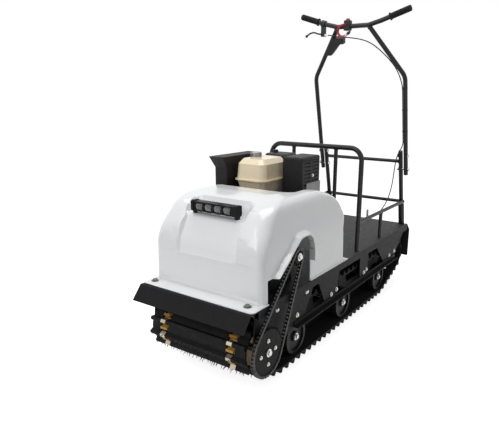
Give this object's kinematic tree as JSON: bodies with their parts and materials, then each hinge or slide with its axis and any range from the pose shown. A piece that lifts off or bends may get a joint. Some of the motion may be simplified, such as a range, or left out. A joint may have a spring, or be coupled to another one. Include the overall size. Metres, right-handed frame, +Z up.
{
  "type": "tracked snow tug",
  "caption": "Walk-behind tracked snow tug with a rubber track, an engine under a white hood, a cargo deck and a tall folding handlebar.",
  "frame": {"origin": "on the ground under the middle of the machine's box", "axes": "+X forward, +Y to the machine's left, +Z up"},
  "size_m": [1.8, 0.6616, 1.619],
  "materials": {
    "hood_white": "glossy moulded plastic",
    "frame_black": "satin black paint",
    "plate_grey": "satin dark grey paint",
    "deck_grey": "dark grey sheet",
    "track_rubber": "black moulded rubber",
    "flap_rubber": "black sheet rubber",
    "grip_rubber": "black soft rubber",
    "cable_black": "black cable sheath",
    "tether_red": "red coiled cord",
    "control_black": "black moulded plastic",
    "lever_black": "black coated alloy",
    "shield_grey": "pressed sheet",
    "wheel_plastic": "black moulded wheel",
    "drive_amber": "amber polyurethane",
    "steel_bright": "zinc plated steel",
    "chain_steel": "oiled steel",
    "bearing_iron": "cast flange",
    "lamp_black": "black anodised",
    "lamp_clear": "clear lens",
    "engine_grey": "cast alloy",
    "tank_cream": "glossy cream enamel",
    "cap_silver": "bright cap",
    "muffler_black": "heatproof black",
    "air_box_black": "black moulded plastic"
  },
  "bodies": {
    "chassis": {"hood": "hood_white", "bumper": "frame_black", "hoop": "frame_black", "hoop_bars": "frame_black", "side_rails": "frame_black", "rear_posts": "frame_black", "crossbars": "frame_black", "angle_bars": "frame_black", "jackshaft_plate": "frame_black", "tow_hitch": "frame_black", "frame_rails": "plate_grey", "cross_members": "plate_grey", "hangers": "plate_grey", "drive_plates": "plate_grey", "engine_bed": "plate_grey", "skid_rails": "plate_grey", "cross_tubes": "plate_grey", "deck_floor": "deck_grey", "track": "track_rubber", "rear_flap": "flap_rubber", "cable_bow": "cable_black", "air_cleaner": "control_black", "heat_shield": "shield_grey", "road_wheels": "wheel_plastic", "rear_idlers": "wheel_plastic", "drive_sprockets": "drive_amber", "drive_axle": "steel_bright", "rear_axle": "steel_bright", "road_wheel_axles": "steel_bright", "jackshaft": "steel_bright", "hitch_pin": "steel_bright", "fold_bolts": "steel_bright", "chain": "chain_steel", "chain_sprocket_large": "chain_steel", "chain_sprocket_small": "chain_steel", "axle_bearings": "bearing_iron", "lamp_housing": "lamp_black", "lamp_lens": "lamp_clear", "engine_block": "engine_grey", "fuel_tank": "tank_cream", "fuel_cap": "cap_silver", "muffler_guard": "muffler_black", "muffler_bracket": "muffler_black", "air_box": "air_box_black"},
    "handlebar": {"handle_tubes": "frame_black", "handlebar": "frame_black", "grips": "grip_rubber", "brake_lever": "lever_black", "stop_switch": "control_black", "tether": "tether_red", "control_box": "control_black", "brake_cable": "cable_black"}
  },
  "joints": [
    {"name": "handlebar_fold", "type": "hinge", "parent": "chassis", "child": "handlebar", "pos_m": [-0.74905, 0, 0.738], "axis": [0, 1, 0], "range_deg": [0, 55], "deforming": ["cable_bow"]}
  ]
}
